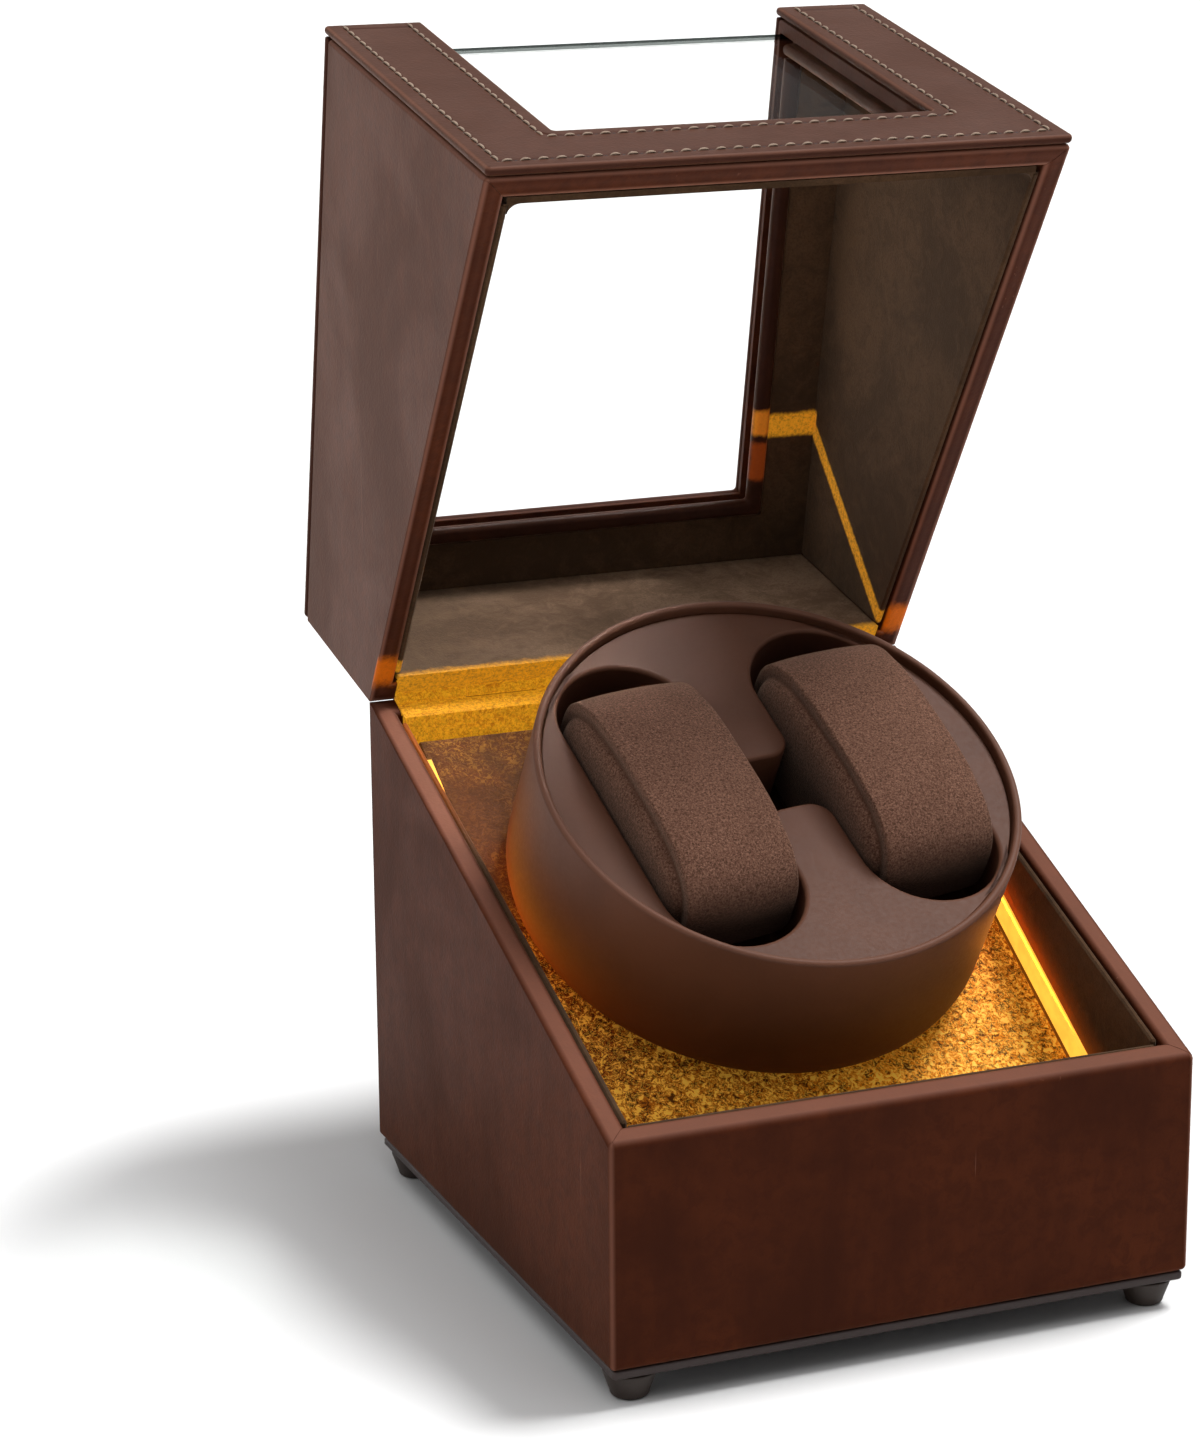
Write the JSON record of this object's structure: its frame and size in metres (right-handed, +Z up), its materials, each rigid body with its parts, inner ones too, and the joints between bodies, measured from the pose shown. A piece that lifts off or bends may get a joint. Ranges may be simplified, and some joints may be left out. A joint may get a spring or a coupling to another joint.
{
  "type": "watch winder",
  "caption": "Leather-covered watch winder with an open glazed lid and a tilted turning drum that holds watch cushions over a lit suede deck.",
  "frame": {"origin": "on the ground, at the middle of the bounds of the open winder", "axes": "+Z up, -Y towards the front, +X to the right seen from the front"},
  "size_m": [0.16, 0.2306, 0.3173],
  "materials": {
    "black_plastic": "black",
    "board": "dark covered board",
    "bronze": "sintered bronze",
    "cable": "black cable",
    "case_leather": "smooth brown leather",
    "circuit": "green circuit board",
    "drum_plastic": "satin brown",
    "frame_leather": "stitched brown leather",
    "gear_plastic": "natural acetal",
    "glass": "clear",
    "light_diffuser": "amber light diffuser",
    "motor_steel": "plated can",
    "moulding_leather": "dark brown leather bead",
    "pillow_suede": "brown microsuede",
    "rubber": "dark rubber",
    "steel": "satin",
    "suede_deck": "brown suede in amber light",
    "suede_lining": "brown suede",
    "wood": "plain wood"
  },
  "bodies": {
    "base": {"base_liner_back": "suede_lining", "base_liner_front": "suede_lining", "base_liner_left": "suede_lining", "base_liner_right": "suede_lining", "base_shell": "case_leather", "bottom_board": "board", "bush_lower": "bronze", "bush_upper": "bronze", "control_board": "circuit", "control_plate": "black_plastic", "deck_batten_left": "wood", "deck_batten_right": "wood", "deck_panel": "suede_deck", "foot_back_left": "rubber", "foot_back_right": "rubber", "foot_front_left": "rubber", "foot_front_right": "rubber", "gear_motor": "motor_steel", "hinge_lower": "steel", "hinge_pin": "steel", "light_lead_left": "cable", "light_lead_right": "cable", "light_strip_left": "light_diffuser", "light_strip_right": "light_diffuser", "light_switch": "black_plastic", "mode_encoder": "black_plastic", "motor_bracket": "steel", "motor_lead": "cable", "power_inlet": "black_plastic"},
    "lid": {"hinge_upper": "steel", "lid_front_frame": "frame_leather", "lid_front_glass": "glass", "lid_front_moulding": "moulding_leather", "lid_liner_back": "suede_lining", "lid_liner_front": "suede_lining", "lid_liner_left": "suede_lining", "lid_liner_right": "suede_lining", "lid_liner_top": "suede_lining", "lid_shell": "case_leather", "lid_top_frame": "frame_leather", "lid_top_glass": "glass", "lid_top_moulding": "moulding_leather"},
    "drum": {"drum_bowl": "drum_plastic", "drum_tray": "drum_plastic", "tray_cup_left": "drum_plastic", "tray_cup_right": "drum_plastic", "drum_hub": "gear_plastic", "drive_shaft": "steel", "drum_gear": "gear_plastic", "shaft_clip": "steel"},
    "pillow_left": {"pillow_left": "pillow_suede"},
    "pillow_right": {"pillow_right": "pillow_suede"},
    "pinion": {"motor_pinion": "gear_plastic"},
    "mode_knob": {"mode_knob": "black_plastic"},
    "light_button": {"light_button": "black_plastic"}
  },
  "joints": [
    {"name": "lid_hinge", "type": "hinge", "parent": "base", "child": "lid", "pos_m": [0, 0.05763, 0.13641], "axis": [-1, 0, 0], "range_deg": [-78.7, 0]},
    {"name": "drum_spin", "type": "hinge", "parent": "base", "child": "drum", "pos_m": [0, -0.03731, 0.13138], "axis": [0, -0.527, 0.8499], "continuous": true},
    {"name": "pinion_spin", "type": "hinge", "parent": "base", "child": "pinion", "pos_m": [0, -0.01691, 0.14402], "axis": [0, -0.527, 0.8499], "continuous": true},
    {"name": "pillow_left_slide", "type": "slide", "parent": "drum", "child": "pillow_left", "axis": [0, -0.527, 0.8499], "range_m": [0, 0.03]},
    {"name": "pillow_right_slide", "type": "slide", "parent": "drum", "child": "pillow_right", "axis": [0, -0.527, 0.8499], "range_m": [0, 0.03]},
    {"name": "mode_knob_turn", "type": "hinge", "parent": "base", "child": "mode_knob", "pos_m": [-0.019, 0.05723, 0.0313], "axis": [0, 1, 0], "range_deg": [0, 135]},
    {"name": "light_button_press", "type": "slide", "parent": "base", "child": "light_button", "axis": [0, -1, 0], "range_m": [0, 0.001], "stiffness_N_per_m": 400}
  ],
  "couplings": [
    {"joint": "pinion_spin", "follows": "drum_spin", "ratio": -4}
  ]
}
